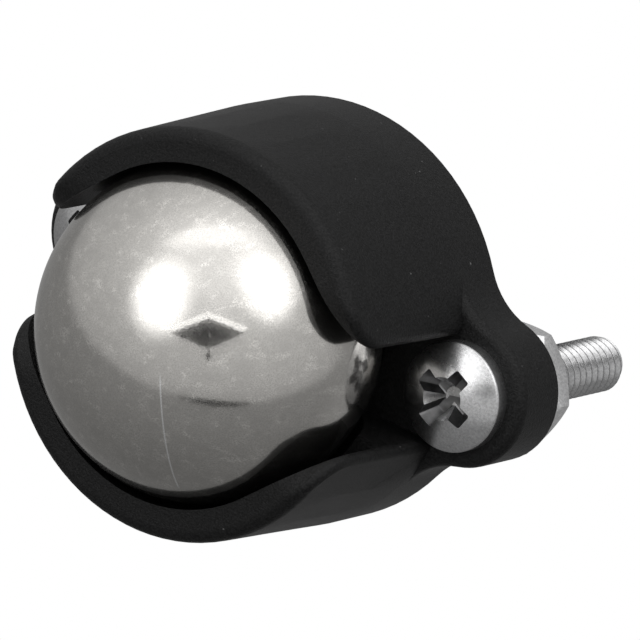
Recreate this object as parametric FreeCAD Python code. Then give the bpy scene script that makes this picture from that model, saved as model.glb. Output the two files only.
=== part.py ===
import FreeCAD, Part
import math
import os
from FreeCAD import Vector

# Ball castor: a steel ball held in a moulded cup with two screw ears.
# Millimetres, +Z up, ball hanging below.  The origin is the middle of the flat
# mounting face, and X runs along the line of the two screws.

# Ball
ball_diameter = 12.7
ball_centre_depth = 7.4

# Cup
cup_diameter = 15.7
cup_depth = 9.45
wall_draft_degrees = 2.1
socket_clearance = 0.3
rim_radius = 0.5
back_edge_chamfer = 0.12

# Slots that part the cup wall into two flaps, one slot over each ear
slot_width = 4.1
slot_corner_radius = 1.9
slot_edge_radius = 0.3
bevel_lip_degrees = 46.0
flap_end_thickness = 0.35

# Ears
ear_thickness = 2.6
ear_radius = 2.72
ear_web_radius = 3.0
ear_edge_radius = 0.4
hole_spacing = 16.1
hole_clearance = 0.15

# Screws, pan head with a cross recess
screw_diameter = 2.1
screw_length = 10.0
screw_point_chamfer = 0.2
head_diameter = 4.1
head_height = 1.35
head_side_height = 0.6
head_corner_radius = 0.15
recess_width = 2.64
recess_floor_width = 1.5
recess_arm_width = 0.74
recess_arm_floor_width = 0.44
recess_heart_diameter = 1.7
recess_heart_floor_diameter = 0.7
recess_depth = 0.95
recess_turn_degrees = 27.0

# Nuts
nut_width = 4.6
nut_height = 1.2
nut_chamfer_degrees = 45.0
nut_bore_clearance = 0.02
nut_turn_degrees = -4.0

# Sizes that follow from the ones above
ball_radius = ball_diameter / 2
socket_radius = ball_radius + socket_clearance
cup_radius = cup_diameter / 2
hole_x = hole_spacing / 2
hole_radius = screw_diameter / 2 + hole_clearance
lip_height = cup_depth - ball_centre_depth
lip_radius = math.sqrt(socket_radius ** 2 - lip_height ** 2)

# How far a cutter runs past the surface that it cuts
cutter_overrun = 1.0

# How near an edge's middle has to be to a surface to be counted as lying on it
edge_tolerance = 0.05

DOWN = Vector(0, 0, -1)
UP = Vector(0, 0, 1)
ORIGIN = Vector(0, 0, 0)


def line(start, end):
    return Part.LineSegment(start, end).toShape()


def arc(start, middle, end):
    return Part.Arc(start, middle, end).toShape()


def polyline(points):
    closed = points + [points[0]]
    return [line(start, end) for start, end in zip(closed, closed[1:])]


def face_of(edges):
    return Part.Face(Part.Wire(edges))


def corner_arc(centre, radius, from_degrees, to_degrees, place):
    """An arc between two angles about a centre; place turns (u, v) into a point."""
    angles = [from_degrees, (from_degrees + to_degrees) / 2, to_degrees]
    points = []
    for angle in angles:
        across = centre[0] + radius * math.cos(math.radians(angle))
        along = centre[1] + radius * math.sin(math.radians(angle))
        points.append(place(across, along))
    return arc(*points)


def in_section(radius, height):
    """A point of a half section: its distance from the axis and its height."""
    return Vector(radius, 0, height)


def wall_radius(height):
    """Radius of the outer wall: straight along the ears, drafted below them."""
    below_ears = max(0.0, -ear_thickness - height)
    return cup_radius - below_ears * math.tan(math.radians(wall_draft_degrees))


def cup_blank():
    """The solid cup before it is hollowed, turned from its half section."""
    rim_outer = wall_radius(-cup_depth)
    rim_centre = (rim_outer - rim_radius, -cup_depth + rim_radius)
    edges = [
        line(ORIGIN, in_section(cup_radius, 0)),
        line(in_section(cup_radius, 0), in_section(cup_radius, -ear_thickness)),
        line(in_section(cup_radius, -ear_thickness), in_section(rim_outer, rim_centre[1])),
        corner_arc(rim_centre, rim_radius, 0, -90, in_section),
        line(in_section(rim_centre[0], -cup_depth), in_section(0, -cup_depth)),
        line(in_section(0, -cup_depth), ORIGIN),
    ]
    return face_of(edges).revolve(ORIGIN, UP, 360)


def ear_outline_points():
    """Centre of the concave web between cup and ear, and where it touches each."""
    to_cup = cup_radius + ear_web_radius
    to_ear = ear_radius + ear_web_radius
    web_x = (to_cup ** 2 - to_ear ** 2 + hole_x ** 2) / (2 * hole_x)
    web_y = math.sqrt(to_cup ** 2 - web_x ** 2)
    centre = Vector(web_x, web_y, 0)
    on_cup = centre * (cup_radius / to_cup)
    on_ear = Vector(hole_x, 0, 0) + (centre - Vector(hole_x, 0, 0)) * (ear_radius / to_ear)
    toward_middle = on_cup + on_ear - centre * 2
    middle = centre + toward_middle.normalize() * ear_web_radius
    return on_cup, middle, on_ear


def mirrored(point):
    return Vector(point.x, -point.y, point.z)


def ear_blank():
    """One ear on the +X side, closed inside the cup, with a rounded lower edge."""
    on_cup, middle, on_ear = ear_outline_points()
    tip = Vector(hole_x + ear_radius, 0, 0)
    edges = [
        line(ORIGIN, on_cup),
        arc(on_cup, middle, on_ear),
        arc(on_ear, tip, mirrored(on_ear)),
        arc(mirrored(on_ear), mirrored(middle), mirrored(on_cup)),
        line(mirrored(on_cup), ORIGIN),
    ]
    ear = face_of(edges).extrude(DOWN * ear_thickness)
    lower_curves = []
    for edge in ear.Edges:
        at_lower_face = edge.BoundBox.ZMax < edge_tolerance - ear_thickness
        if at_lower_face and edge.Curve.TypeId == "Part::GeomCircle":
            lower_curves.append(edge)
    return ear.makeFillet(ear_edge_radius, lower_curves)


def slot_cutter():
    """The slot over the +X ear, with the lower corners of both flaps rounded."""
    half = slot_width / 2
    below = -cup_depth - cutter_overrun
    radius = slot_corner_radius
    start_x = half
    end_x = hole_x + ear_radius + cutter_overrun

    def on_side(across, height):
        return Vector(start_x, across, height)

    left_centre = (-half - radius, -cup_depth + radius)
    right_centre = (half + radius, -cup_depth + radius)
    edges = [
        line(on_side(-half - radius, below), on_side(-half - radius, -cup_depth)),
        corner_arc(left_centre, radius, -90, 0, on_side),
        line(on_side(-half, left_centre[1]), on_side(-half, -ear_thickness)),
        line(on_side(-half, -ear_thickness), on_side(half, -ear_thickness)),
        line(on_side(half, -ear_thickness), on_side(half, right_centre[1])),
        corner_arc(right_centre, radius, 180, 270, on_side),
        line(on_side(half + radius, -cup_depth), on_side(half + radius, below)),
        line(on_side(half + radius, below), on_side(-half - radius, below)),
    ]
    return face_of(edges).extrude(Vector(end_x - start_x, 0, 0))


def flap_bevel_cutter():
    """What bevels the flap ends, level with the ball's middle, so that it snaps in.

    Each bevel is one upright plane from near the slot to the lip of the socket.
    """
    half = slot_width / 2
    bevel_x = math.sqrt(wall_radius(-ball_centre_depth) ** 2 - half ** 2) - flap_end_thickness
    outer = Vector(bevel_x, half, 0)
    spread = math.radians(bevel_lip_degrees)
    on_lip = Vector(lip_radius * math.cos(spread), lip_radius * math.sin(spread), 0)
    along = (on_lip - outer).normalize()
    inner = outer - along * outer.dot(along)
    prism = face_of(polyline([ORIGIN, mirrored(inner), mirrored(outer), outer, inner]))
    prism.translate(DOWN * (ball_centre_depth - lip_height))
    return prism.extrude(DOWN * (2 * lip_height + cutter_overrun))


def chamfer_back_edge(body):
    """Breaks the edge round the mounting face, along the cup, the webs and the ears."""
    back_edges = [edge for edge in body.Edges if edge.BoundBox.ZMin > -edge_tolerance]
    return body.makeChamfer(back_edge_chamfer, back_edges)


def is_slot_edge(edge):
    """True where the side or the rounded corner of a slot meets the outer wall."""
    middle = edge.valueAt((edge.FirstParameter + edge.LastParameter) / 2)
    beside_slot = abs(abs(middle.y) - slot_width / 2) < slot_corner_radius / 2
    below_ear = middle.z < -ear_thickness - edge_tolerance
    off_wall = abs(math.hypot(middle.x, middle.y) - wall_radius(middle.z))
    return beside_slot and below_ear and off_wall < edge_tolerance


def cut_slots(body):
    """Cuts both slots and rounds their outer edges, where the flap walls end."""
    body = body.cut([slot_cutter(), turned_about_z(slot_cutter(), 180)])
    slot_edges = [edge for edge in body.Edges if is_slot_edge(edge)]
    return body.makeFillet(slot_edge_radius, slot_edges)


def screw_hole():
    start = Vector(hole_x, 0, cutter_overrun)
    return Part.makeCylinder(hole_radius, ear_thickness + 2 * cutter_overrun, start, DOWN)


def turned_about_z(shape, degrees):
    copy = shape.copy()
    copy.rotate(ORIGIN, UP, degrees)
    return copy


def make_housing():
    """The one moulding: cup, flaps, ears and holes."""
    one_side = [flap_bevel_cutter(), screw_hole()]
    cutters = one_side + [turned_about_z(shape, 180) for shape in one_side]
    socket = Part.makeSphere(socket_radius, Vector(0, 0, -ball_centre_depth))
    ear = ear_blank()
    body = cup_blank().fuse([ear, turned_about_z(ear, 180)]).removeSplitter()
    body = cut_slots(chamfer_back_edge(body)).cut(cutters).cut(socket)
    return body.removeSplitter()


def make_ball():
    return Part.makeSphere(ball_radius, Vector(0, 0, -ball_centre_depth))


def above_floor(at_floor, at_top, height):
    """A size of the recess that grows evenly from its floor to the head's top."""
    return at_floor + (at_top - at_floor) * height / recess_depth


def recess_cutter():
    """The cross recess, with its mouth at the origin and its floor below it."""
    reach = recess_depth + head_corner_radius
    floor_along = recess_floor_width / 2
    floor_across = recess_arm_floor_width / 2
    top_along = above_floor(recess_floor_width, recess_width, reach) / 2
    top_across = above_floor(recess_arm_floor_width, recess_arm_width, reach) / 2
    arm = Part.makeWedge(-floor_along, 0, -floor_across, -top_across, -top_along,
                         floor_along, reach, floor_across, top_across, top_along)
    arm.rotate(ORIGIN, Vector(1, 0, 0), 90)
    arm.translate(DOWN * recess_depth)
    floor_radius = recess_heart_floor_diameter / 2
    mouth_radius = above_floor(recess_heart_floor_diameter, recess_heart_diameter, reach) / 2
    heart = Part.makeCone(floor_radius, mouth_radius, reach, DOWN * recess_depth)
    return arm.fuse([turned_about_z(arm, 90), heart])


def head_profile(seat):
    """Half section of the pan head below its seat: crown, rounded corner and side."""
    head_radius = head_diameter / 2
    top = seat - head_height
    side_end = seat - head_side_height
    rise = side_end - top
    corner_x = head_radius - head_corner_radius
    crown_radius = (corner_x ** 2 + rise ** 2 - head_corner_radius ** 2) / (
        2 * (rise - head_corner_radius))
    crown_degrees = math.degrees(math.asin(corner_x / (crown_radius - head_corner_radius)))
    turn = crown_degrees - 90
    crown = corner_arc((0, top + crown_radius), crown_radius, -90, turn, in_section)
    corner = corner_arc((corner_x, side_end), head_corner_radius, turn, 0, in_section)
    side = line(in_section(head_radius, side_end), in_section(head_radius, seat))
    return [crown, corner, side]


def make_screw(x):
    """A pan head screw from below: its head bears on the ear, its point is above.

    The end that stands out of the nut, where a panel goes on, is a face of its own.
    """
    shank_radius = screw_diameter / 2
    seat = -ear_thickness
    point = seat + screw_length
    chamfer = screw_point_chamfer
    head_top = in_section(0, seat - head_height)
    free_end = [
        line(in_section(shank_radius, nut_height), in_section(shank_radius, point - chamfer)),
        line(in_section(shank_radius, point - chamfer), in_section(shank_radius - chamfer, point)),
        line(in_section(shank_radius - chamfer, point), in_section(0, point)),
    ]
    held_end = [
        line(in_section(head_diameter / 2, seat), in_section(shank_radius, seat)),
        line(in_section(shank_radius, seat), in_section(shank_radius, nut_height)),
    ]
    edges = free_end + [line(in_section(0, point), head_top)] + head_profile(seat) + held_end
    screw = face_of(edges).revolve(ORIGIN, UP, 360)
    recess = recess_cutter()
    recess.rotate(ORIGIN, Vector(1, 0, 0), 180)
    recess.translate(head_top)
    screw = screw.cut(turned_about_z(recess, recess_turn_degrees))
    screw.translate(Vector(x, 0, 0))
    return screw


def make_nut(x):
    """A hex nut on the mounting side of an ear, with both ends chamfered."""
    flat_radius = nut_width / 2
    corner_radius = flat_radius / math.cos(math.radians(30))
    chamfer = (corner_radius - flat_radius) * math.tan(math.radians(nut_chamfer_degrees))
    corners = []
    for degrees in range(0, 360, 60):
        angle = math.radians(degrees)
        corners.append(Vector(corner_radius * math.cos(angle), corner_radius * math.sin(angle), 0))
    prism = face_of(polyline(corners)).extrude(UP * nut_height)
    envelope_outline = [
        in_section(0, 0),
        in_section(flat_radius, 0),
        in_section(corner_radius, chamfer),
        in_section(corner_radius, nut_height - chamfer),
        in_section(flat_radius, nut_height),
        in_section(0, nut_height),
    ]
    envelope = face_of(polyline(envelope_outline)).revolve(ORIGIN, UP, 360)
    bore = Part.makeCylinder(screw_diameter / 2 + nut_bore_clearance, nut_height)
    nut = turned_about_z(prism.common(envelope).cut(bore), nut_turn_degrees)
    nut.translate(Vector(x, 0, 0))
    return nut


def main():
    os.makedirs("parts", exist_ok=True)
    shapes = {
        "housing": make_housing(),
        "ball": make_ball(),
        "screw_right": make_screw(hole_x),
        "screw_left": make_screw(-hole_x),
        "nut_right": make_nut(hole_x),
        "nut_left": make_nut(-hole_x),
    }
    for name, shape in shapes.items():
        solid = shape.Solids[0]
        print(name, "solids", len(shape.Solids), "valid", solid.isValid(), "volume", round(solid.Volume, 3))
        solid.exportStep(os.path.join("parts", name + ".step"))


main()
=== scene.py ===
import math

import bpy
from mathutils import Matrix, Vector


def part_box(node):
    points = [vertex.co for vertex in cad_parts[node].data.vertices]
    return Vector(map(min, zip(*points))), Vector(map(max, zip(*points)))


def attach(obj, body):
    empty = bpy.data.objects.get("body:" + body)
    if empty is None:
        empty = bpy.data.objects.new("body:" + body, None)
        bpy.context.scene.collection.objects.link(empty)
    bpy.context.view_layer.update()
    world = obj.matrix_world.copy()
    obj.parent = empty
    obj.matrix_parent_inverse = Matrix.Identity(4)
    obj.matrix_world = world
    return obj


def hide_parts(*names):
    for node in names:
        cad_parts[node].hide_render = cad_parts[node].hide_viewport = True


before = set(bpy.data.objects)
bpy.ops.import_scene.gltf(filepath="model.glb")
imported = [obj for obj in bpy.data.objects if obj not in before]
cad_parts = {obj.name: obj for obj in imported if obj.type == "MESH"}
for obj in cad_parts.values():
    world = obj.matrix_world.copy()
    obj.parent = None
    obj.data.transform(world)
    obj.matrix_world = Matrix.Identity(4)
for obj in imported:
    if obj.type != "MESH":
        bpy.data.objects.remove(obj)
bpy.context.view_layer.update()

bl_info = {
    "name": "Ball castor",
    "version": (1, 0, 0),
    "blender": (4, 5, 0),
    "location": "3D View > Sidebar > Castor",
    "description": "Dresses a small ball castor: moulded housing, steel ball, screws and nuts",
    "category": "Object",
}


def node_box(name):
    low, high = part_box(name)
    return Vector(low), Vector(high)


def node_middle(name):
    low, high = node_box(name)
    return (low + high) / 2


# Settings


class BallSettings(bpy.types.PropertyGroup):
    """The steel ball."""

    colour: bpy.props.FloatVectorProperty(
        name="Steel", description="Colour of the polished steel",
        subtype="COLOR", size=3, min=0, max=1, default=(0.765, 0.745, 0.71))
    rough: bpy.props.FloatProperty(
        name="Roughness", description="How dull the polish is",
        subtype="FACTOR", min=0, max=1, default=0.12)
    scratch_plane: bpy.props.FloatVectorProperty(
        name="Scratch plane", description="Direction across the long scratch",
        subtype="DIRECTION", size=3, default=(0.9174, -0.2566, 0.3041))
    scratch_middle: bpy.props.FloatVectorProperty(
        name="Scratch middle", description="Direction from the ball's middle to the long scratch",
        subtype="DIRECTION", size=3, default=(0.3903, 0.4311, -0.8135))
    scratch_width: bpy.props.FloatProperty(
        name="Scratch width", description="Half the width of the long scratch",
        subtype="DISTANCE", unit="LENGTH", min=0.00001, max=0.0005, default=0.00005)
    cuts: bpy.props.IntProperty(
        name="Cuts", description="Cuts along each side of the block that the ball is rounded from",
        min=8, max=120, default=71)


class PlasticSettings(bpy.types.PropertyGroup):
    """The moulded housing."""

    colour: bpy.props.FloatVectorProperty(
        name="Plastic", description="Colour of the moulded plastic",
        subtype="COLOR", size=3, min=0, max=1, default=(0.0044, 0.0044, 0.0045))
    rough: bpy.props.FloatProperty(
        name="Roughness", description="How matte the moulded face is",
        subtype="FACTOR", min=0, max=1, default=0.4)
    grain: bpy.props.FloatProperty(
        name="Grain", description="Width of one grain of the moulded face",
        subtype="DISTANCE", unit="LENGTH", min=0.00001, max=0.001, default=0.00008)


class FastenerSettings(bpy.types.PropertyGroup):
    """The screws and nuts."""

    colour: bpy.props.FloatVectorProperty(
        name="Plating", description="Colour of the zinc plating",
        subtype="COLOR", size=3, min=0, max=1, default=(0.78, 0.78, 0.785))
    pitch: bpy.props.FloatProperty(
        name="Pitch", description="Distance between two turns of the thread",
        subtype="DISTANCE", unit="LENGTH", min=0.0002, max=0.001, default=0.00041)
    head_height: bpy.props.FloatProperty(
        name="Head height", description="Height of the pan head",
        subtype="DISTANCE", unit="LENGTH", min=0.0005, max=0.003, default=0.00135)
    side_height: bpy.props.FloatProperty(
        name="Head side", description="Height of the straight side of the head",
        subtype="DISTANCE", unit="LENGTH", min=0.0001, max=0.001, default=0.0006)
    corner_radius: bpy.props.FloatProperty(
        name="Head corner", description="Radius between the head's side and its crown",
        subtype="DISTANCE", unit="LENGTH", min=0.00005, max=0.001, default=0.00015)
    recess_depth: bpy.props.FloatProperty(
        name="Recess depth", description="Depth of the cross recess",
        subtype="DISTANCE", unit="LENGTH", min=0.0002, max=0.002, default=0.00095)
    recess_width: bpy.props.FloatProperty(
        name="Recess width", description="Width across two arms of the recess at the head's top",
        subtype="DISTANCE", unit="LENGTH", min=0.0005, max=0.004, default=0.00264)
    recess_floor_width: bpy.props.FloatProperty(
        name="Recess floor width", description="Width across two arms of the recess at its floor",
        subtype="DISTANCE", unit="LENGTH", min=0.0002, max=0.004, default=0.0015)
    arm_width: bpy.props.FloatProperty(
        name="Arm width", description="Width of one arm of the recess at the head's top",
        subtype="DISTANCE", unit="LENGTH", min=0.0001, max=0.002, default=0.00074)
    arm_floor_width: bpy.props.FloatProperty(
        name="Arm floor width", description="Width of one arm of the recess at its floor",
        subtype="DISTANCE", unit="LENGTH", min=0.0001, max=0.002, default=0.00044)
    heart_diameter: bpy.props.FloatProperty(
        name="Heart", description="Diameter of the recess's round middle at the head's top",
        subtype="DISTANCE", unit="LENGTH", min=0.0002, max=0.003, default=0.0017)
    heart_floor_diameter: bpy.props.FloatProperty(
        name="Heart floor", description="Diameter of the recess's round middle at its floor",
        subtype="DISTANCE", unit="LENGTH", min=0.0002, max=0.003, default=0.0007)
    recess_turn: bpy.props.FloatProperty(
        name="Recess turn", description="How far the recess is turned from the line of the screws",
        subtype="ANGLE", unit="ROTATION", default=math.radians(27))
    point_chamfer: bpy.props.FloatProperty(
        name="Point chamfer", description="Chamfer on the threaded end",
        subtype="DISTANCE", unit="LENGTH", min=0.00005, max=0.001, default=0.0002)


class StageSettings(bpy.types.PropertyGroup):
    """The floor, lamps and camera."""

    floor_colour: bpy.props.FloatVectorProperty(
        name="Floor", description="Colour of the floor",
        subtype="COLOR", size=3, min=0, max=1, default=(0.86, 0.86, 0.86))
    room_light: bpy.props.FloatProperty(
        name="Room light", description="Strength of the light from all round",
        min=0, max=2, default=1.2)
    overhead_level: bpy.props.FloatProperty(
        name="Overhead level", description="How light the room is straight above the castor",
        subtype="FACTOR", min=0, max=1, default=0.24)
    lens: bpy.props.FloatProperty(
        name="Lens", description="Focal length of the camera in millimetres",
        min=50, max=1000, default=562.5)


SETTINGS = {
    "castor_ball": BallSettings,
    "castor_plastic": PlasticSettings,
    "castor_fasteners": FastenerSettings,
    "castor_stage": StageSettings,
}

# Modelling helpers


def deselect_all():
    if bpy.context.object and bpy.context.object.mode != "OBJECT":
        bpy.ops.object.mode_set(mode="OBJECT")
    bpy.ops.object.select_all(action="DESELECT")


def make_active(piece):
    deselect_all()
    piece.select_set(True)
    bpy.context.view_layer.objects.active = piece


def new_piece(name):
    piece = bpy.context.object
    piece.name = name
    piece.data.name = name
    return piece


def apply_modifier(piece, kind, **values):
    """Adds one modifier with these values and applies it."""
    make_active(piece)
    modifier = piece.modifiers.new(kind.title(), kind)
    for key, value in values.items():
        setattr(modifier, key, value)
    bpy.ops.object.modifier_apply(modifier=modifier.name)


def cut_with(piece, tool, how="DIFFERENCE"):
    """A boolean of the piece with a tool, which is then thrown away."""
    apply_modifier(piece, "BOOLEAN", object=tool, operation=how, solver="EXACT",
                   material_mode="TRANSFER")
    bpy.data.objects.remove(tool)


def draw_profile(name, points):
    """A chain of edges through points in the XZ plane, drawn by extruding one vertex."""
    deselect_all()
    bpy.ops.mesh.primitive_plane_add(size=0.001)
    piece = new_piece(name)
    bpy.ops.object.mode_set(mode="EDIT")
    bpy.ops.mesh.select_all(action="SELECT")
    bpy.ops.mesh.merge(type="CENTER")
    here = Vector((0, 0, 0))
    for index, (radius, height) in enumerate(points):
        there = Vector((radius, 0, height))
        if index == 0:
            bpy.ops.transform.translate(value=there)
        else:
            bpy.ops.mesh.extrude_region_move(TRANSFORM_OT_translate={"value": there - here})
        here = there
    bpy.ops.object.mode_set(mode="OBJECT")
    return piece


def turn_profile(name, points, steps):
    """A closed turned solid from a half section that starts and ends on the axis."""
    piece = draw_profile(name, points)
    bpy.ops.object.mode_set(mode="EDIT")
    bpy.ops.mesh.select_all(action="SELECT")
    bpy.ops.mesh.spin(steps=steps, angle=math.tau, center=(0, 0, 0), axis=(0, 0, 1))
    tidy_shell()
    bpy.ops.object.mode_set(mode="OBJECT")
    return piece


def tidy_shell():
    """In edit mode: merges doubles and points every face outwards."""
    bpy.ops.mesh.select_all(action="SELECT")
    bpy.ops.mesh.remove_doubles(threshold=1e-8)
    bpy.ops.mesh.normals_make_consistent(inside=False)


def arc_points(centre, radius, start, end, count):
    """Points of a half section along an arc between two angles."""
    points = []
    for step in range(count + 1):
        angle = start + (end - start) * step / count
        points.append((centre[0] + radius * math.cos(angle), centre[1] + radius * math.sin(angle)))
    return points


def set_place(piece, place):
    """Puts the place in the mesh and leaves the object at the origin."""
    piece.data.transform(Matrix.Translation(place))
    piece.data.update()


def copy_piece(piece, name, shift):
    twin = piece.copy()
    twin.data = piece.data.copy()
    twin.name = name
    twin.data.name = name
    twin.data.transform(Matrix.Translation(shift))
    bpy.context.collection.objects.link(twin)
    return twin


def smooth_by_angle(piece, degrees):
    make_active(piece)
    bpy.ops.object.shade_smooth_by_angle(angle=math.radians(degrees))


def dress(piece, material):
    piece.data.materials.clear()
    piece.data.materials.append(material)


# Materials


class Nodes:
    """A small helper that adds shader nodes to one tree and joins them."""

    def __init__(self, tree):
        self.tree = tree

    def node(self, kind, **values):
        made = self.tree.nodes.new(kind)
        for key, value in values.items():
            setattr(made, key, value)
        return made

    def join(self, source, target):
        self.tree.links.new(source, target)

    def put(self, value, socket):
        """Joins a socket to another, or sets a plain value on it."""
        if isinstance(value, bpy.types.NodeSocket):
            self.join(value, socket)
        else:
            socket.default_value = value

    def ramp(self, source, stops):
        """Greys along a source, from stops of a position and a level."""
        ramp = self.node("ShaderNodeValToRGB")
        first, last = ramp.color_ramp.elements
        first.position, first.color = stops[0][0], grey(stops[0][1])
        last.position, last.color = stops[-1][0], grey(stops[-1][1])
        for position, value in stops[1:-1]:
            ramp.color_ramp.elements.new(position).color = grey(value)
        self.join(source, ramp.inputs["Fac"])
        return ramp.outputs["Color"]

    def spread(self, source, low, high):
        """Maps 0 to 1 onto low to high."""
        between = self.node("ShaderNodeMapRange")
        between.inputs["To Min"].default_value = low
        between.inputs["To Max"].default_value = high
        self.join(source, between.inputs["Value"])
        return between.outputs["Result"]

    def mix(self, share, first, second):
        """A colour mix; share may be a number or a socket, and so may the colours."""
        mix = self.node("ShaderNodeMix", data_type="RGBA")
        self.put(share, mix.inputs[0])
        self.put(first, mix.inputs[6])
        self.put(second, mix.inputs[7])
        return mix.outputs[2]

    def blend(self, share, first, second):
        """Two shaders, the second one by a share from 0 to 1."""
        mix = self.node("ShaderNodeMixShader")
        self.join(share, mix.inputs["Fac"])
        self.join(first, mix.inputs[1])
        self.join(second, mix.inputs[2])
        return mix.outputs["Shader"]

    def calculate(self, operation, first, second):
        """One step of arithmetic; the second value may be a number."""
        step = self.node("ShaderNodeMath", operation=operation)
        self.join(first, step.inputs[0])
        self.put(second, step.inputs[1])
        return step.outputs["Value"]

    def add(self, first, second):
        return self.calculate("ADD", first, second)

    def times(self, first, second):
        return self.calculate("MULTIPLY", first, second)

    def measure(self, vector, direction):
        """How far a vector reaches along a direction."""
        dot = self.node("ShaderNodeVectorMath", operation="DOT_PRODUCT")
        dot.inputs[1].default_value = direction
        self.join(vector, dot.inputs[0])
        return dot.outputs["Value"]

    def length(self, vector):
        """How long a vector is."""
        whole = self.node("ShaderNodeVectorMath", operation="LENGTH")
        self.join(vector, whole.inputs[0])
        return whole.outputs["Value"]

    def between(self, source, none, full, least=0.0):
        """A mask that grows softly from least, where the source is none, to 1 where it is full."""
        mask = self.node("ShaderNodeMapRange", interpolation_type="SMOOTHSTEP")
        mask.inputs["From Min"].default_value = none
        mask.inputs["From Max"].default_value = full
        mask.inputs["To Min"].default_value = least
        self.join(source, mask.inputs["Value"])
        return mask.outputs["Result"]


class Finish(Nodes):
    """The nodes of one new material, placed by the piece's own coordinates."""

    def __init__(self, name):
        self.material = bpy.data.materials.new(name)
        self.material.use_nodes = True
        super().__init__(self.material.node_tree)
        self.shader = self.tree.nodes["Principled BSDF"]
        self.place = self.node("ShaderNodeTexCoord").outputs["Object"]

    def noise(self, size, detail=2.0, roughness=0.5, stretch=(1, 1, 1), turn=(0, 0, 0)):
        """Noise whose grains are about this many metres wide."""
        mapping = self.node("ShaderNodeMapping")
        mapping.inputs["Scale"].default_value = [share / size for share in stretch]
        mapping.inputs["Rotation"].default_value = turn
        noise = self.node("ShaderNodeTexNoise")
        noise.inputs["Scale"].default_value = 1.0
        noise.inputs["Detail"].default_value = detail
        noise.inputs["Roughness"].default_value = roughness
        self.join(self.place, mapping.inputs["Vector"])
        self.join(mapping.outputs["Vector"], noise.inputs["Vector"])
        return noise.outputs["Fac"]

    def bump(self, height, depth):
        """A bump whose full height is depth metres."""
        bump = self.node("ShaderNodeBump")
        bump.inputs["Strength"].default_value = 1.0
        bump.inputs["Distance"].default_value = depth
        self.join(height, bump.inputs["Height"])
        return bump.outputs["Normal"]

    def surface(self, shader):
        """Shows this shader in place of the plain one."""
        self.join(shader, self.tree.nodes["Material Output"].inputs["Surface"])

    def set(self, **values):
        for key, value in values.items():
            self.shader.inputs[key.replace("_", " ")].default_value = value

    def feed(self, **sockets):
        for key, source in sockets.items():
            self.join(source, self.shader.inputs[key.replace("_", " ")])


def grey(value):
    return (value, value, value, 1.0)


def shade(colour, factor):
    return (*[min(1.0, part * factor) for part in colour], 1.0)


def long_scratch(finish, settings, middle):
    """A mask of one long scratch: near one plane through the ball's middle, for part of a turn."""
    from_middle = finish.node("ShaderNodeVectorMath", operation="SUBTRACT")
    from_middle.inputs[1].default_value = middle
    finish.join(finish.place, from_middle.inputs[0])
    along = finish.measure(from_middle.outputs["Vector"], settings.scratch_middle)
    off = finish.node("ShaderNodeMath", operation="ABSOLUTE")
    finish.join(finish.measure(from_middle.outputs["Vector"], settings.scratch_plane), off.inputs[0])
    thin = finish.between(off.outputs["Value"], settings.scratch_width, 0.0)
    end_of_scratch, full_scratch = 0.0057, 0.0059
    near = finish.between(along, end_of_scratch, full_scratch)
    return finish.times(thin, near)


def polished_steel(settings, middle):
    finish = Finish("Polished steel")
    cloud = finish.noise(0.004, detail=3)
    haze = finish.noise(0.0006, detail=5, roughness=0.65)
    fine = finish.noise(0.00005, detail=2)
    finest = finish.noise(0.000018, detail=0)
    swirls = finish.ramp(
        finish.noise(0.0012, detail=4, roughness=0.6, stretch=(3, 3, 0.06), turn=(0.5, 0.3, 0.2)),
        [(0.55, 0.0), (0.7, 1.0)])
    base = finish.mix(cloud, shade(settings.colour, 0.9), shade(settings.colour, 1.05))
    hazed = finish.mix(finish.ramp(haze, [(0.36, 0.0), (0.62, 1.0)]),
                       shade(settings.colour, 0.84), base)
    swirled = finish.mix(swirls, hazed, shade(settings.colour, 1.2))
    grained = finish.mix(finish.ramp(fine, [(0.36, 0.0), (0.6, 1.0)]),
                         shade(settings.colour, 0.76), swirled)
    line = long_scratch(finish, settings, middle)
    finish.feed(Base_Color=finish.mix(line, grained, grey(0.98)))
    finish.set(Metallic=1.0)
    hazy = finish.between(finest, 0.4, 0.6)
    dull = finish.add(finish.spread(hazy, settings.rough - 0.08, settings.rough + 0.09),
                      finish.spread(swirls, 0.0, 0.05))
    finish.feed(Roughness=finish.add(dull, finish.spread(line, 0.0, 0.2)))
    finish.feed(Normal=finish.bump(haze, 0.000003))
    return finish.material


def moulded_plastic(settings):
    finish = Finish("Moulded black plastic")
    cloud = finish.noise(0.0045, detail=3)
    grain = finish.noise(settings.grain, detail=3, roughness=0.65)
    base = finish.mix(cloud, shade(settings.colour, 2.2), shade(settings.colour, 3.0))
    specks = finish.ramp(finish.noise(0.00016, detail=0), [(0.86, 0.0), (0.89, 1.0)])
    grained = finish.mix(finish.ramp(grain, [(0.4, 0.0), (0.64, 1.0)]),
                         shade(settings.colour, 0.05), base)
    finish.feed(Base_Color=finish.mix(specks, grained, grey(0.1)))
    matte = finish.spread(cloud, settings.rough - 0.05, settings.rough + 0.05)
    finish.feed(Roughness=finish.add(matte, finish.spread(grain, -0.12, 0.12)))
    finish.feed(Normal=finish.bump(grain, 0.00004))
    finish.set(IOR=1.45, Specular_IOR_Level=0.27)
    return finish.material


def zinc_plating(settings, name="Zinc plating", bright=0.94, rough=0.26):
    finish = Finish(name)
    cloud = finish.noise(0.0012, detail=3)
    grain = finish.noise(0.00009, detail=3, roughness=0.6)
    base = finish.mix(cloud, shade(settings.colour, 0.84 * bright),
                      shade(settings.colour, 1.06 * bright))
    stained = finish.mix(finish.ramp(grain, [(0.36, 0.0), (0.62, 1.0)]),
                         shade(settings.colour, 0.72 * bright), base)
    finish.feed(Base_Color=stained)
    finish.set(Metallic=1.0)
    finish.feed(Roughness=finish.spread(cloud, rough - 0.06, rough + 0.08))
    finish.feed(Normal=finish.bump(grain, 0.000002))
    return finish.material


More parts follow.
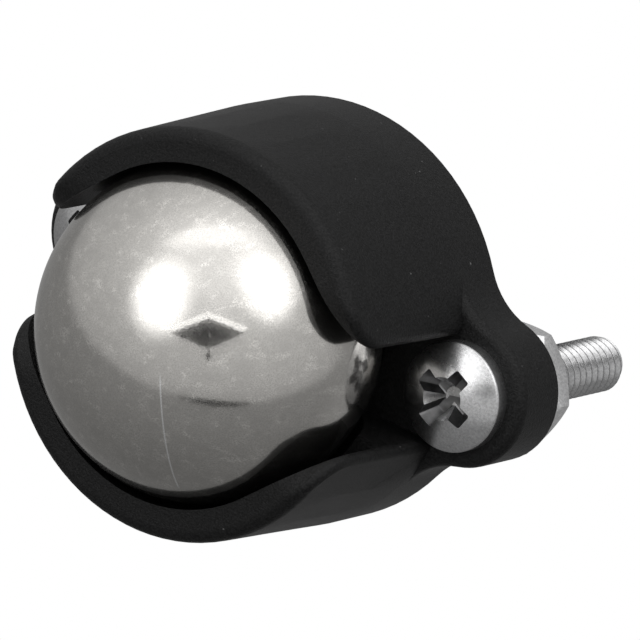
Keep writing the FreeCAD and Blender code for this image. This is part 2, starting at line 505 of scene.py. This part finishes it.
# Painted shade: the walls of the recess's arms are darkened to stand in for the shade inside the cross
# recess.
def painted_shade_recess(settings):
    finish = Finish("Recess painted shade")
    cloud = finish.noise(0.0003, detail=3)
    finish.feed(Base_Color=finish.mix(cloud, shade(settings.colour, 0.1), shade(settings.colour, 0.4)))
    finish.set(Metallic=1.0)
    finish.feed(Roughness=finish.spread(cloud, 0.25, 0.45))
    finish.feed(Normal=finish.bump(finish.noise(0.00006, detail=2), 0.000003))
    return finish.material


# Pieces


# How far the recess cutters reach out of the head, as a share of the recess's depth
RECESS_OVERSHOOT = 1.3


class CASTOR_OT_housing(bpy.types.Operator):
    """Finishes the moulded housing in grained black plastic"""

    bl_idname = "castor.housing"
    bl_label = "Housing"

    def execute(self, context):
        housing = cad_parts["housing"]
        dress(housing, moulded_plastic(context.scene.castor_plastic))
        return {"FINISHED"}


class CASTOR_OT_ball(bpy.types.Operator):
    """Rounds the steel ball from a cut block and polishes it"""

    bl_idname = "castor.ball"
    bl_label = "Ball"

    def execute(self, context):
        settings = context.scene.castor_ball
        low, high = node_box("ball")
        diameter = high.z - low.z
        deselect_all()
        bpy.ops.mesh.primitive_cube_add(size=diameter)
        ball = new_piece("steel_ball")
        bpy.ops.object.mode_set(mode="EDIT")
        bpy.ops.mesh.select_all(action="SELECT")
        bpy.ops.mesh.subdivide(number_cuts=settings.cuts)
        bpy.ops.object.mode_set(mode="OBJECT")
        apply_modifier(ball, "CAST", factor=1.0, cast_type="SPHERE",
                       use_radius_as_size=False, size=diameter / 2)
        make_active(ball)
        bpy.ops.object.shade_smooth()
        set_place(ball, node_middle("ball"))
        dress(ball, polished_steel(settings, node_middle("ball")))
        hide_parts("ball")
        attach(ball, "ball")
        return {"FINISHED"}


def head_points(settings, radius):
    """Half section of the pan head, from the crown on the axis to the seat; the seat is at 0."""
    corner = settings.corner_radius
    rise = settings.head_height - settings.side_height
    inset = radius - corner
    crown = (inset ** 2 + rise ** 2 - corner ** 2) / (2 * (rise - corner))
    turn = math.asin(inset / (crown - corner)) - math.pi / 2
    points = arc_points((0, crown - settings.head_height), crown, -math.pi / 2, turn, 10)
    points += arc_points((inset, -settings.side_height), corner, turn, 0, 9)[1:]
    edge = 0.00004
    points += [(radius, -edge), (radius - edge, 0), (0, 0)]
    return points


def above_floor(at_floor, at_top, share):
    """A size of the recess that grows evenly from its floor (0) to the head's top (1)."""
    return at_floor + (at_top - at_floor) * share


def set_in_head(tool, settings, turn):
    """Turns a recess cutter over, so that it opens downwards, and sets its floor in the head."""
    tool.data.transform(Matrix.Rotation(math.pi, 4, "X"))
    tool.data.transform(Matrix.Rotation(turn, 4, "Z"))
    set_place(tool, (0, 0, settings.recess_depth - settings.head_height))


def recess_arm(settings, turn):
    """One tapered bar of the cross recess, standing on its floor until it is turned over."""
    reach = settings.recess_depth * RECESS_OVERSHOOT
    deselect_all()
    bpy.ops.mesh.primitive_cube_add(size=1, location=(0, 0, 0.5))
    bpy.ops.object.transform_apply(location=True, rotation=False, scale=False)
    arm = new_piece("recess_arm")
    top_along = above_floor(settings.recess_floor_width, settings.recess_width, RECESS_OVERSHOOT)
    top_across = above_floor(settings.arm_floor_width, settings.arm_width, RECESS_OVERSHOOT)
    for vertex in arm.data.vertices:
        at_top = vertex.co.z > 0.5
        vertex.co.x *= top_along if at_top else settings.recess_floor_width
        vertex.co.y *= top_across if at_top else settings.arm_floor_width
        vertex.co.z *= reach
    apply_modifier(arm, "BEVEL", width=settings.arm_floor_width / 6, segments=2)
    set_in_head(arm, settings, turn)
    return arm


def recess_heart(settings):
    """The round middle of the cross recess, standing on its floor until it is turned over."""
    reach = settings.recess_depth * RECESS_OVERSHOOT
    top = above_floor(settings.heart_floor_diameter, settings.heart_diameter, RECESS_OVERSHOOT)
    deselect_all()
    bpy.ops.mesh.primitive_cone_add(vertices=32, radius1=settings.heart_floor_diameter / 2,
                                    radius2=top / 2, depth=reach)
    heart = new_piece("recess_heart")
    set_place(heart, (0, 0, reach / 2))
    set_in_head(heart, settings, 0)
    return heart


def threaded_rod(settings, radius, start, end):
    """A rod with one long helical thread and a chamfered point, from start to end along Z.

    Its cross section is a circle that sinks to the root of the thread on one side; the
    section is turned as it climbs.
    """
    depth = settings.pitch * 0.54  # of a standard thread
    crest, flank = 1 / 16, 5 / 16  # half the crest and one flank, as shares of a turn
    sides, rings_per_turn = 48, 28
    turns = (end - start) / settings.pitch
    rings = math.ceil(turns * rings_per_turn)
    deselect_all()
    bpy.ops.mesh.primitive_circle_add(vertices=sides, radius=radius)
    rod = new_piece("threaded_rod")
    for vertex in rod.data.vertices:
        phase = math.atan2(vertex.co.y, vertex.co.x) / math.tau % 1
        sink = min(1.0, max(0.0, (abs(phase - 0.5) - crest) / flank))
        here = Vector((vertex.co.x, vertex.co.y, 0)).normalized() * (radius - depth * sink)
        vertex.co = here + Vector((0, 0, start))
    apply_modifier(rod, "SCREW", axis="Z", angle=math.tau * turns, screw_offset=end - start,
                   iterations=1, steps=rings, render_steps=rings, use_merge_vertices=False)
    for vertex in rod.data.vertices:
        across = Vector((vertex.co.x, vertex.co.y, 0))
        limit = radius - max(0.0, vertex.co.z - (end - settings.point_chamfer))
        if across.length > limit:
            across = across.normalized() * limit
        vertex.co.x, vertex.co.y = across.x, across.y
    make_active(rod)
    bpy.ops.object.mode_set(mode="EDIT")
    bpy.ops.mesh.select_all(action="DESELECT")
    bpy.ops.mesh.select_non_manifold()
    bpy.ops.mesh.edge_face_add()
    tidy_shell()
    bpy.ops.object.mode_set(mode="OBJECT")
    return rod


def screw_head(settings, radius, plating, recess_shade):
    """A pan head with its cross recess cut, seated at the origin."""
    head = turn_profile("screw_head", head_points(settings, radius), 72)
    dress(head, plating)
    for turn in (settings.recess_turn, settings.recess_turn + math.pi / 2):
        arm = recess_arm(settings, turn)
        # The arms' cut walls take the recess's painted shade.
        dress(arm, recess_shade)
        cut_with(head, arm)
    heart = recess_heart(settings)
    dress(heart, plating)
    cut_with(head, heart)
    return head


class CASTOR_OT_screws(bpy.types.Operator):
    """Turns a pan head screw, cuts its recess and thread, and sets one in each ear"""

    bl_idname = "castor.screws"
    bl_label = "Screws"

    def execute(self, context):
        settings = context.scene.castor_fasteners
        low, high = node_box("screw_right")
        seat = low.z + settings.head_height
        head_radius = (high.x - low.x) / 2
        plating = zinc_plating(settings)
        # The arms of the recess get a dark plating that is painted shade.
        head = screw_head(settings, head_radius, plating, painted_shade_recess(settings))
        rod_radius, sunk = 0.00105, 0.0001
        rod = threaded_rod(settings, rod_radius, -sunk, high.z - seat)
        dress(rod, plating)
        make_active(head)
        rod.select_set(True)
        bpy.ops.object.join()
        middle = node_middle("screw_right")
        set_place(head, Vector((middle.x, middle.y, seat)))
        smooth_by_angle(head, 28)
        head.name = head.data.name = "pan_head_screw_right"
        shift = node_middle("screw_left") - middle
        twin = copy_piece(head, "pan_head_screw_left", shift)
        for piece, node in ((head, "screw_right"), (twin, "screw_left")):
            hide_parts(node)
            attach(piece, "housing")
        return {"FINISHED"}


def hex_prism(name, corner, height, turned):
    """A hexagonal prism that stands on the origin, with one corner turned this far from X."""
    deselect_all()
    bpy.ops.mesh.primitive_cylinder_add(vertices=6, radius=corner, depth=height)
    prism = new_piece(name)
    prism.data.transform(Matrix.Translation((0, 0, height / 2)))
    first = max(prism.data.vertices, key=lambda vertex: vertex.co.x).co
    prism.data.transform(Matrix.Rotation(turned - math.atan2(first.y, first.x), 4, "Z"))
    return prism


def nut_envelope(corner, height):
    """A turned body that a hex prism is cut to, so that its corners are chamfered both ways."""
    flat = corner * math.cos(math.radians(30))
    past_corner = corner * 1.02
    chamfer = past_corner - flat
    return turn_profile("nut_envelope", [
        (0, 0), (flat, 0), (past_corner, chamfer), (past_corner, height - chamfer),
        (flat, height), (0, height)], 96)


def nut_drill(height):
    """The bore of a nut with a lead at each end; it reaches out of the nut both ways."""
    bore, lead, over = 0.00107, 0.00016, 0.001
    return turn_profile("nut_drill", [
        (0, -over), (bore + lead + over, -over), (bore, lead), (bore, height - lead),
        (bore + lead + over, height + over), (0, height + over)], 64)


class CASTOR_OT_nuts(bpy.types.Operator):
    """Cuts a hex nut, chamfers and bores it, and sets one behind each ear"""

    bl_idname = "castor.nuts"
    bl_label = "Nuts"

    def execute(self, context):
        low, high = node_box("nut_right")
        height = high.z - low.z
        turned = math.radians(-4)
        corner = (high.x - low.x) / 2 / math.cos(turned)
        nut = hex_prism("hex_nut_right", corner, height, turned)
        cut_with(nut, nut_envelope(corner, height), "INTERSECT")
        cut_with(nut, nut_drill(height))
        apply_modifier(nut, "BEVEL", width=0.00003, segments=2, limit_method="ANGLE",
                       angle_limit=math.radians(25), use_clamp_overlap=True)
        middle = node_middle("nut_right")
        set_place(nut, Vector((middle.x, middle.y, low.z)))
        smooth_by_angle(nut, 35)
        # Painted light: the nut's plating is a lightened copy of the screws' zinc plating, standing in
        # for the light its flanks catch.
        dress(nut, zinc_plating(context.scene.castor_fasteners, "Nut plating lightened as painted light",
                                bright=1.2, rough=0.42))
        shift = node_middle("nut_left") - middle
        twin = copy_piece(nut, "hex_nut_left", shift)
        for piece, node in ((nut, "nut_right"), (twin, "nut_left")):
            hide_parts(node)
            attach(piece, "housing")
        return {"FINISHED"}


# Stage


# Directions seen from the castor: the bright side of the light tent, the side away from the
# near ear, and the side where the camera stands
BRIGHT_SIDE = Vector((-0.363, -0.925, 0.114)).normalized()
FAR_SIDE = Vector((-0.802, 0.247, -0.544)).normalized()
CAMERA_SIDE = Vector((0.475, -0.289, -0.831)).normalized()
# The tent's dark side, below and behind
DARK_SIDE = (FAR_SIDE * 0.15 - BRIGHT_SIDE * 0.77 - CAMERA_SIDE * 0.62).normalized()
# How light the tent's wall is, from its bright side (0) to its dark side (1)
TENT_STOPS = ((0.0, 1.0), (0.04, 0.95), (0.08, 0.8), (0.15, 0.65), (0.25, 0.53), (0.35, 0.47),
              (0.5, 0.4), (0.56, 0.36), (0.6, 0.215), (0.72, 0.2), (0.85, 0.165), (1.0, 0.13))
# The tent's dark seam: an ellipse, by its place between the bright and the dark side and its
# place away from the far side, each with half its width there
SEAM_PLACE, SEAM_HALF_WIDTH = 0.585, 0.028
SEAM_ACROSS, SEAM_HALF_LENGTH = 0.06, 0.5


def tent_direction(across, up, toward):
    """A direction in the light tent: away from the far side, to the bright side, to the camera."""
    return BRIGHT_SIDE * up - FAR_SIDE * across + CAMERA_SIDE * toward


def pale_floor(settings, height):
    """A floor that is seen from above only, so that the castor can be seen from below."""
    deselect_all()
    bpy.ops.mesh.primitive_plane_add(size=4)
    floor = new_piece("floor")
    set_place(floor, Vector((0, 0, height)))
    finish = Finish("Pale floor")
    finish.set(Base_Color=(*settings.floor_colour, 1.0), Roughness=0.9)
    from_below = finish.node("ShaderNodeNewGeometry").outputs["Backfacing"]
    clear = finish.node("ShaderNodeBsdfTransparent")
    finish.surface(finish.blend(from_below, finish.shader.outputs["BSDF"], clear.outputs["BSDF"]))
    dress(floor, finish.material)
    floor.visible_shadow = floor.visible_glossy = floor.visible_diffuse = False


def seam_mask(nodes, direction, to_dark):
    """A share of the light that sinks in the tent's dark seam."""
    pair = nodes.node("ShaderNodeCombineXYZ")
    nodes.join(to_dark, pair.inputs["X"])
    nodes.join(nodes.measure(direction, -FAR_SIDE), pair.inputs["Y"])
    shift = nodes.node("ShaderNodeVectorMath", operation="MULTIPLY_ADD")
    shift.inputs[1].default_value = (1 / SEAM_HALF_WIDTH, 1 / SEAM_HALF_LENGTH, 0)
    shift.inputs[2].default_value = (-SEAM_PLACE / SEAM_HALF_WIDTH,
                                     -SEAM_ACROSS / SEAM_HALF_LENGTH, 0)
    nodes.join(pair.outputs["Vector"], shift.inputs[0])
    return nodes.between(nodes.length(shift.outputs["Vector"]), 0.4, 1.0, least=0.1)


def tent_wall(nodes, direction):
    """How light the tent's wall is in each direction, with its dark seam."""
    half = nodes.node("ShaderNodeMapRange")
    half.inputs["From Min"].default_value = -1
    nodes.join(nodes.measure(direction, DARK_SIDE), half.inputs["Value"])
    to_dark = half.outputs["Result"]
    wall = nodes.node("ShaderNodeVectorMath", operation="SCALE")
    nodes.join(nodes.ramp(to_dark, TENT_STOPS), wall.inputs[0])
    nodes.join(seam_mask(nodes, direction, to_dark), wall.inputs["Scale"])
    return wall.outputs["Vector"]


def white_room(settings):
    """Light from all round, brighter on one side, and white where the camera looks past."""
    world = bpy.data.worlds.new("White room")
    bpy.context.scene.world = world
    world.use_nodes = True
    nodes = Nodes(world.node_tree)
    direction = nodes.node("ShaderNodeTexCoord").outputs["Generated"]
    split = nodes.node("ShaderNodeSeparateXYZ")
    nodes.join(direction, split.inputs["Vector"])
    overhead = nodes.between(split.outputs["Z"], 0.45, 0.8)
    level = nodes.mix(overhead, tent_wall(nodes, direction), grey(settings.overhead_level))
    room = nodes.tree.nodes["Background"]
    room.inputs["Strength"].default_value = settings.room_light
    nodes.join(level, room.inputs["Color"])
    backdrop = nodes.node("ShaderNodeBackground")
    backdrop.inputs["Color"].default_value = grey(1.0)
    backdrop.inputs["Strength"].default_value = 1.0
    seen = nodes.node("ShaderNodeLightPath").outputs["Is Camera Ray"]
    nodes.join(nodes.blend(seen, room.outputs["Background"], backdrop.outputs["Background"]),
               nodes.tree.nodes["World Output"].inputs["Surface"])


def softbox(name, aim, toward, distance, width, height, glow):
    """A soft lamp seen from the castor along one direction; glow is how bright its face is."""
    light = bpy.data.lights.new(name, "AREA")
    light.shape = "RECTANGLE"
    light.size, light.size_y = width, height
    light.energy = glow * math.pi * width * height
    lamp = bpy.data.objects.new(name, light)
    bpy.context.collection.objects.link(lamp)
    direction = Vector(toward).normalized()
    lamp.location = Vector(aim) + direction * distance
    lamp.rotation_mode = "QUATERNION"
    lamp.rotation_quaternion = direction.to_track_quat("Z", "Y")
    return lamp


def bright_patch(name, aim, toward, distance, width, height, glow):
    """A lit patch of the tent that fades out towards its edge."""
    deselect_all()
    bpy.ops.mesh.primitive_circle_add(vertices=32, radius=0.5, fill_type="NGON")
    patch = new_piece(name)
    out = Vector(toward).normalized()
    across = BRIGHT_SIDE.cross(out).normalized()
    turn = Matrix((across, out.cross(across), out)).transposed().to_4x4()
    spread = Matrix.Diagonal((width, height, 1, 1))
    patch.matrix_world = Matrix.Translation(Vector(aim) + out * distance) @ turn @ spread
    finish = Finish(name)
    fade = finish.between(finish.length(finish.place), 0.5, 0.15)
    light = finish.node("ShaderNodeEmission")
    light.inputs["Strength"].default_value = glow
    clear = finish.node("ShaderNodeBsdfTransparent")
    finish.surface(finish.blend(finish.calculate("POWER", fade, 1.5),
                                clear.outputs["BSDF"], light.outputs["Emission"]))
    dress(patch, finish.material)
    patch.visible_camera = patch.visible_shadow = False


def tent_card(name, aim, width, height, lift, away, shade_of_grey, glow):
    """A small diamond that shows only in the polish, as the camera does in a light tent."""
    deselect_all()
    bpy.ops.mesh.primitive_plane_add(size=1)
    card = new_piece(name)
    bpy.ops.object.mode_set(mode="EDIT")
    bpy.ops.mesh.select_all(action="SELECT")
    bpy.ops.transform.rotate(value=math.pi / 4, orient_axis="Z", center_override=(0, 0, 0))
    bpy.ops.transform.resize(value=(width, height, 1))
    bpy.ops.object.mode_set(mode="OBJECT")
    along = CAMERA_SIDE.cross(BRIGHT_SIDE).normalized()
    turn = Matrix((along, -BRIGHT_SIDE, -CAMERA_SIDE)).transposed().to_4x4()
    card.data.transform(Matrix.Translation(aim + CAMERA_SIDE * away + BRIGHT_SIDE * lift) @ turn)
    finish = Finish(name)
    finish.set(Base_Color=grey(shade_of_grey), Roughness=0.9, Emission_Color=grey(1.0),
               Emission_Strength=glow)
    dress(card, finish.material)
    card.visible_camera = card.visible_shadow = card.visible_diffuse = False


def photo_camera(settings):
    """The camera, below the castor and off to the side of one ear."""
    data = bpy.data.cameras.new("Camera")
    data.lens = settings.lens
    data.sensor_width = 36
    data.clip_start = 0.01
    data.clip_end = 10
    camera = bpy.data.objects.new("Camera", data)
    bpy.context.collection.objects.link(camera)
    right = Vector((0.8016, -0.2472, 0.5443)).normalized()
    forward = Vector((-0.4753, 0.2885, 0.8312)).normalized()
    up = right.cross(forward)
    right = forward.cross(up)
    turn = Matrix((right, up, -forward)).transposed()
    camera.matrix_world = Matrix.Translation((0.17551, -0.10597, -0.30667)) @ turn.to_4x4()
    bpy.context.scene.camera = camera


class CASTOR_OT_stage(bpy.types.Operator):
    """Sets the floor, the soft lamps, the white room and the camera"""

    bl_idname = "castor.stage"
    bl_label = "Stage"

    def execute(self, context):
        settings = context.scene.castor_stage
        context.scene.view_settings.view_transform = "Standard"
        ball_low, ball_high = node_box("ball")
        aim = (ball_low + ball_high) / 2
        pale_floor(settings, ball_low.z)
        white_room(settings)
        photo_camera(settings)
        tent_card("dark_card", aim, width=0.074, height=0.028, lift=-0.005, away=0.12,
                  shade_of_grey=0.004, glow=0.0)
        tent_card("light_card", aim, width=0.086, height=0.031, lift=0.0025, away=0.122,
                  shade_of_grey=0.5, glow=1.5)
        tent_card("dark_foot", aim, width=0.006, height=0.014, lift=-0.035, away=0.12,
                  shade_of_grey=0.004, glow=0.0)
        bright_patch("left_window", aim, tent_direction(-0.5, 0.36, 0.79),
                     distance=0.4, width=0.42, height=0.54, glow=2.2)
        bright_patch("right_window", aim, tent_direction(0.6, 0.47, 0.64),
                     distance=0.4, width=0.4, height=0.5, glow=2.1)
        bright_patch("top_window", aim, tent_direction(0.05, 0.9, 0.43),
                     distance=0.4, width=0.6, height=0.18, glow=1.7)
        overhead = softbox("Overhead", aim, (0.2, -0.4, 0.9),
                           distance=0.6, width=0.4, height=0.4, glow=0.9)
        overhead.visible_glossy = False
        return {"FINISHED"}


class CASTOR_PT_panel(bpy.types.Panel):
    """Lists the steps that dress the castor"""

    bl_label = "Ball castor"
    bl_idname = "CASTOR_PT_panel"
    bl_space_type = "VIEW_3D"
    bl_region_type = "UI"
    bl_category = "Castor"

    def draw(self, context):
        column = self.layout.column()
        for step in STEPS:
            column.operator(step.bl_idname)
        for name, group in SETTINGS.items():
            box = self.layout.box()
            box.label(text=group.__doc__)
            for key in group.__annotations__:
                box.prop(getattr(context.scene, name), key)


STEPS = (CASTOR_OT_housing, CASTOR_OT_ball, CASTOR_OT_screws, CASTOR_OT_nuts, CASTOR_OT_stage)


def register():
    for name, group in SETTINGS.items():
        bpy.utils.register_class(group)
        setattr(bpy.types.Scene, name, bpy.props.PointerProperty(type=group))
    for step in STEPS:
        bpy.utils.register_class(step)
    bpy.utils.register_class(CASTOR_PT_panel)


def unregister():
    bpy.utils.unregister_class(CASTOR_PT_panel)
    for step in reversed(STEPS):
        bpy.utils.unregister_class(step)
    for name, group in SETTINGS.items():
        delattr(bpy.types.Scene, name)
        bpy.utils.unregister_class(group)


def main():
    register()
    bpy.ops.castor.housing()
    bpy.ops.castor.ball()
    bpy.ops.castor.screws()
    bpy.ops.castor.nuts()
    bpy.ops.castor.stage()


if __name__ == "__main__":
    main()
